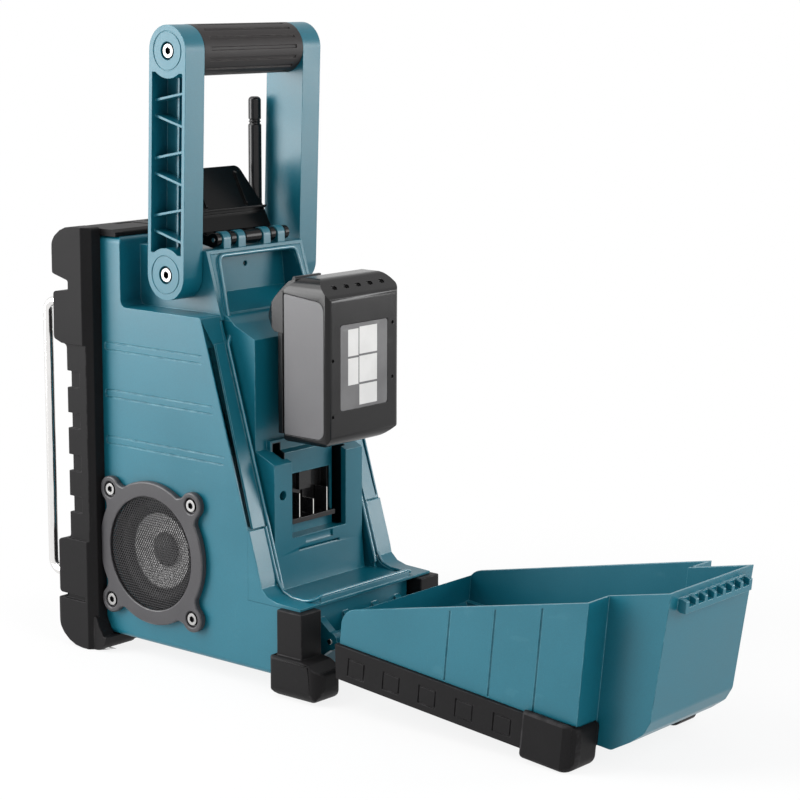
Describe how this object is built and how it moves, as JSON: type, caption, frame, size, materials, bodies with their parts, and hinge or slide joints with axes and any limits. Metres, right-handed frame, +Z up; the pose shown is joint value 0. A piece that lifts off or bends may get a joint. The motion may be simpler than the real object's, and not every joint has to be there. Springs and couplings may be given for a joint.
{
  "type": "jobsite radio",
  "caption": "Jobsite radio with side speakers, rubber bumpers with guard rods, folding handle, short antenna and a rear battery bay with a drop-down door and flip-over latch.",
  "frame": {"origin": "middle of the footprint of the whole radio, door open, on the ground", "axes": "+Z up; -Y towards the front with the display; +Y towards the rear, where the battery door lies open; X across, the right-hand speaker at +X when seen from the rear with the front facing away is at +X"},
  "size_m": [0.163, 0.5218, 0.4417],
  "materials": {
    "teal_plastic": "moulded teal plastic with a fine satin grain",
    "bumper_rubber": "black moulded rubber, slightly rough",
    "grip_rubber": "black ribbed grip rubber",
    "black_plastic": "black satin plastic",
    "latch_plastic": "black semi-gloss plastic",
    "antenna_rubber": "black coated flexible antenna",
    "grey_plastic": "dark grey satin plastic",
    "label_film": "plain label film",
    "display_glass": "clear display window",
    "display_backing": "pale liquid crystal panel",
    "circuit_board": "green circuit board",
    "bright_steel": "polished steel",
    "tube_aluminium": "drawn aluminium tube",
    "mesh_steel": "black perforated steel",
    "basket_metal": "black stamped steel",
    "cone_card": "grey loudspeaker cone",
    "magnet_iron": "ferrite magnet",
    "contact_brass": "plated brass contacts",
    "bush_plastic": "natural bearing plastic",
    "cell_cans": null
  },
  "bodies": {
    "housing": {"cabinet": "teal_plastic", "battery_bay": "teal_plastic", "rear_sill": "teal_plastic", "door_hinge_pin": "bright_steel", "front_panel": "black_plastic", "display_window": "display_glass", "display_module": "display_backing", "circuit_boards": "circuit_board", "bumper_right": "bumper_rubber", "bumper_left": "bumper_rubber", "bumper_top": "bumper_rubber", "bumper_bottom": "bumper_rubber", "guard_rods": "bright_steel", "speaker_ring_right": "black_plastic", "speaker_ring_left": "black_plastic", "speaker_mesh_right": "mesh_steel", "speaker_mesh_left": "mesh_steel", "speaker_basket_right": "basket_metal", "speaker_basket_left": "basket_metal", "speaker_cone_right": "cone_card", "speaker_cone_left": "cone_card", "speaker_magnets": "magnet_iron", "speaker_screws": "bright_steel", "rear_foot_right": "bumper_rubber", "rear_foot_left": "bumper_rubber", "terminal_block": "black_plastic", "terminal_blades": "contact_brass", "jack_sockets": "contact_brass", "knob_encoder": "bright_steel", "panel_screws": "bright_steel", "handle_bushes": "bush_plastic", "latch_hinge_pin": "bright_steel", "antenna_base": "black_plastic"},
    "antenna": {"antenna": "antenna_rubber"},
    "knob": {"tuning_knob": "black_plastic"},
    "jack_cap": {"jack_cap": "bumper_rubber"},
    "preset_key_1": {"preset_1": "grey_plastic"},
    "preset_key_2": {"preset_2": "grey_plastic"},
    "preset_key_3": {"preset_3": "grey_plastic"},
    "preset_key_4": {"preset_4": "grey_plastic"},
    "preset_key_5": {"preset_5": "grey_plastic"},
    "power_key": {"power_button": "grey_plastic"},
    "mode_key": {"mode_button": "grey_plastic"},
    "handle": {"handle_arm_right": "teal_plastic", "handle_arm_left": "teal_plastic", "handle_grip": "grip_rubber", "handle_tube": "tube_aluminium", "handle_screws": "bright_steel"},
    "latch": {"latch_plate": "latch_plastic"},
    "door": {"door_tray": "teal_plastic", "door_strip_right": "bumper_rubber", "door_strip_left": "bumper_rubber", "door_foot_right": "bumper_rubber", "door_foot_left": "bumper_rubber"},
    "battery": {"battery_case": "black_plastic", "battery_head": "black_plastic", "battery_side_panels": "grey_plastic", "battery_label": "label_film", "battery_cells": "cell_cans"},
    "battery_catch": {"battery_release": "grey_plastic"}
  },
  "joints": [
    {"name": "handle_fold", "type": "hinge", "parent": "housing", "child": "handle", "pos_m": [0, -0.14436, 0.2736], "axis": [-1, 0, 0], "range_deg": [0, 86.2]},
    {"name": "door_hinge", "type": "hinge", "parent": "housing", "child": "door", "pos_m": [0, -0.01696, 0.035], "axis": [1, 0, 0], "range_deg": [0, 95.3]},
    {"name": "latch_hinge", "type": "hinge", "parent": "housing", "child": "latch", "pos_m": [0, -0.12936, 0.296], "axis": [-1, 0, 0], "range_deg": [0, 118]},
    {"name": "battery_slide", "type": "slide", "parent": "housing", "child": "battery", "axis": [0, 0, -1], "range_m": [-0.045, 0.07]},
    {"name": "battery_catch_press", "type": "slide", "parent": "battery", "child": "battery_catch", "axis": [0, 1, 0], "range_m": [0, 0.0032], "stiffness_N_per_m": 900, "springref_m": -0.002},
    {"name": "antenna_flex", "type": "hinge", "parent": "housing", "child": "antenna", "pos_m": [-0.04, -0.16136, 0.296], "axis": [1, 0, 0], "range_deg": [-10, 30], "stiffness_Nm_per_rad": 0.25},
    {"name": "tuning_turn", "type": "hinge", "parent": "housing", "child": "knob", "pos_m": [0, -0.24836, 0.112], "axis": [0, 1, 0], "continuous": true},
    {"name": "jack_cap_hinge", "type": "hinge", "parent": "housing", "child": "jack_cap", "pos_m": [0, -0.24056, 0.0376], "axis": [1, 0, 0], "range_deg": [0, 120]},
    {"name": "preset_1_press", "type": "slide", "parent": "housing", "child": "preset_key_1", "axis": [0, 1, 0], "range_m": [0, 0.0012], "stiffness_N_per_m": 800, "springref_m": -0.0012},
    {"name": "preset_2_press", "type": "slide", "parent": "housing", "child": "preset_key_2", "axis": [0, 1, 0], "range_m": [0, 0.0012], "stiffness_N_per_m": 800, "springref_m": -0.0012},
    {"name": "preset_3_press", "type": "slide", "parent": "housing", "child": "preset_key_3", "axis": [0, 1, 0], "range_m": [0, 0.0012], "stiffness_N_per_m": 800, "springref_m": -0.0012},
    {"name": "preset_4_press", "type": "slide", "parent": "housing", "child": "preset_key_4", "axis": [0, 1, 0], "range_m": [0, 0.0012], "stiffness_N_per_m": 800, "springref_m": -0.0012},
    {"name": "preset_5_press", "type": "slide", "parent": "housing", "child": "preset_key_5", "axis": [0, 1, 0], "range_m": [0, 0.0012], "stiffness_N_per_m": 800, "springref_m": -0.0012},
    {"name": "power_press", "type": "slide", "parent": "housing", "child": "power_key", "axis": [0, 1, 0], "range_m": [0, 0.0012], "stiffness_N_per_m": 800, "springref_m": -0.0012},
    {"name": "mode_press", "type": "slide", "parent": "housing", "child": "mode_key", "axis": [0, 1, 0], "range_m": [0, 0.0012], "stiffness_N_per_m": 800, "springref_m": -0.0012}
  ]
}
